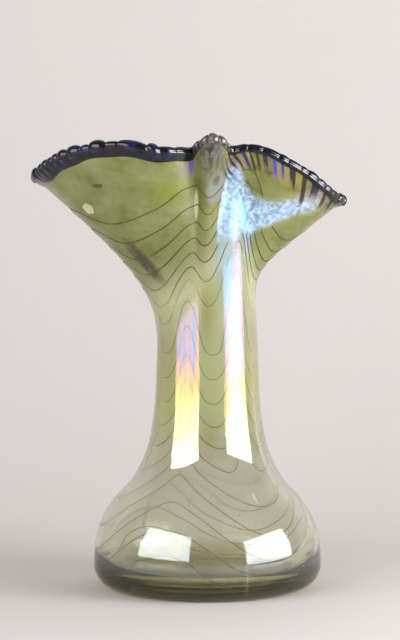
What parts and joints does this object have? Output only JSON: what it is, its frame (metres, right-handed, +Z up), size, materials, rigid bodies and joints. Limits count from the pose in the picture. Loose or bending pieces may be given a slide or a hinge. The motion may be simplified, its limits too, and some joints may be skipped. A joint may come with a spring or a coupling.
{
  "type": "vase",
  "caption": "Blown glass vase with a squat bulb, a tall neck and a wide folded mouth with a crimped dark lip and combed dark threads.",
  "frame": {"origin": "on the axis of the bulb and neck, at the plane the vase rests on", "axes": "+Z up along the axis of the bulb and neck; -Y towards the front, where the mouth folds into a pleat; -X towards the larger lobe of the mouth"},
  "size_m": [0.1952, 0.1421, 0.2819],
  "materials": {
    "blown_glass": "clear olive green blown glass, iridised outside, fire polished",
    "lip_glass": "near black cobalt glass coil, crimped hot, with violet and blue lustre",
    "trail_glass": "dark olive brown glass trail, combed and marvered",
    "chip_dark_glass": "dark glass melted into the surface",
    "chip_pale_glass": "pale flattened bead of glass melted into the surface"
  },
  "bodies": {
    "root": {"body": "blown_glass", "lip_wrap": "lip_glass", "thread_01": "trail_glass", "thread_02": "trail_glass", "thread_03": "trail_glass", "thread_04": "trail_glass", "thread_05": "trail_glass", "thread_06": "trail_glass", "thread_07": "trail_glass", "thread_08": "trail_glass", "thread_09": "trail_glass", "thread_10": "trail_glass", "thread_11": "trail_glass", "thread_12": "trail_glass", "thread_13": "trail_glass", "thread_14": "trail_glass", "thread_15": "trail_glass", "thread_16": "trail_glass", "thread_17": "trail_glass", "thread_18": "trail_glass", "dark_chip": "chip_dark_glass", "pale_chip": "chip_pale_glass", "dark_smear": "chip_dark_glass"}
  },
  "joints": []
}
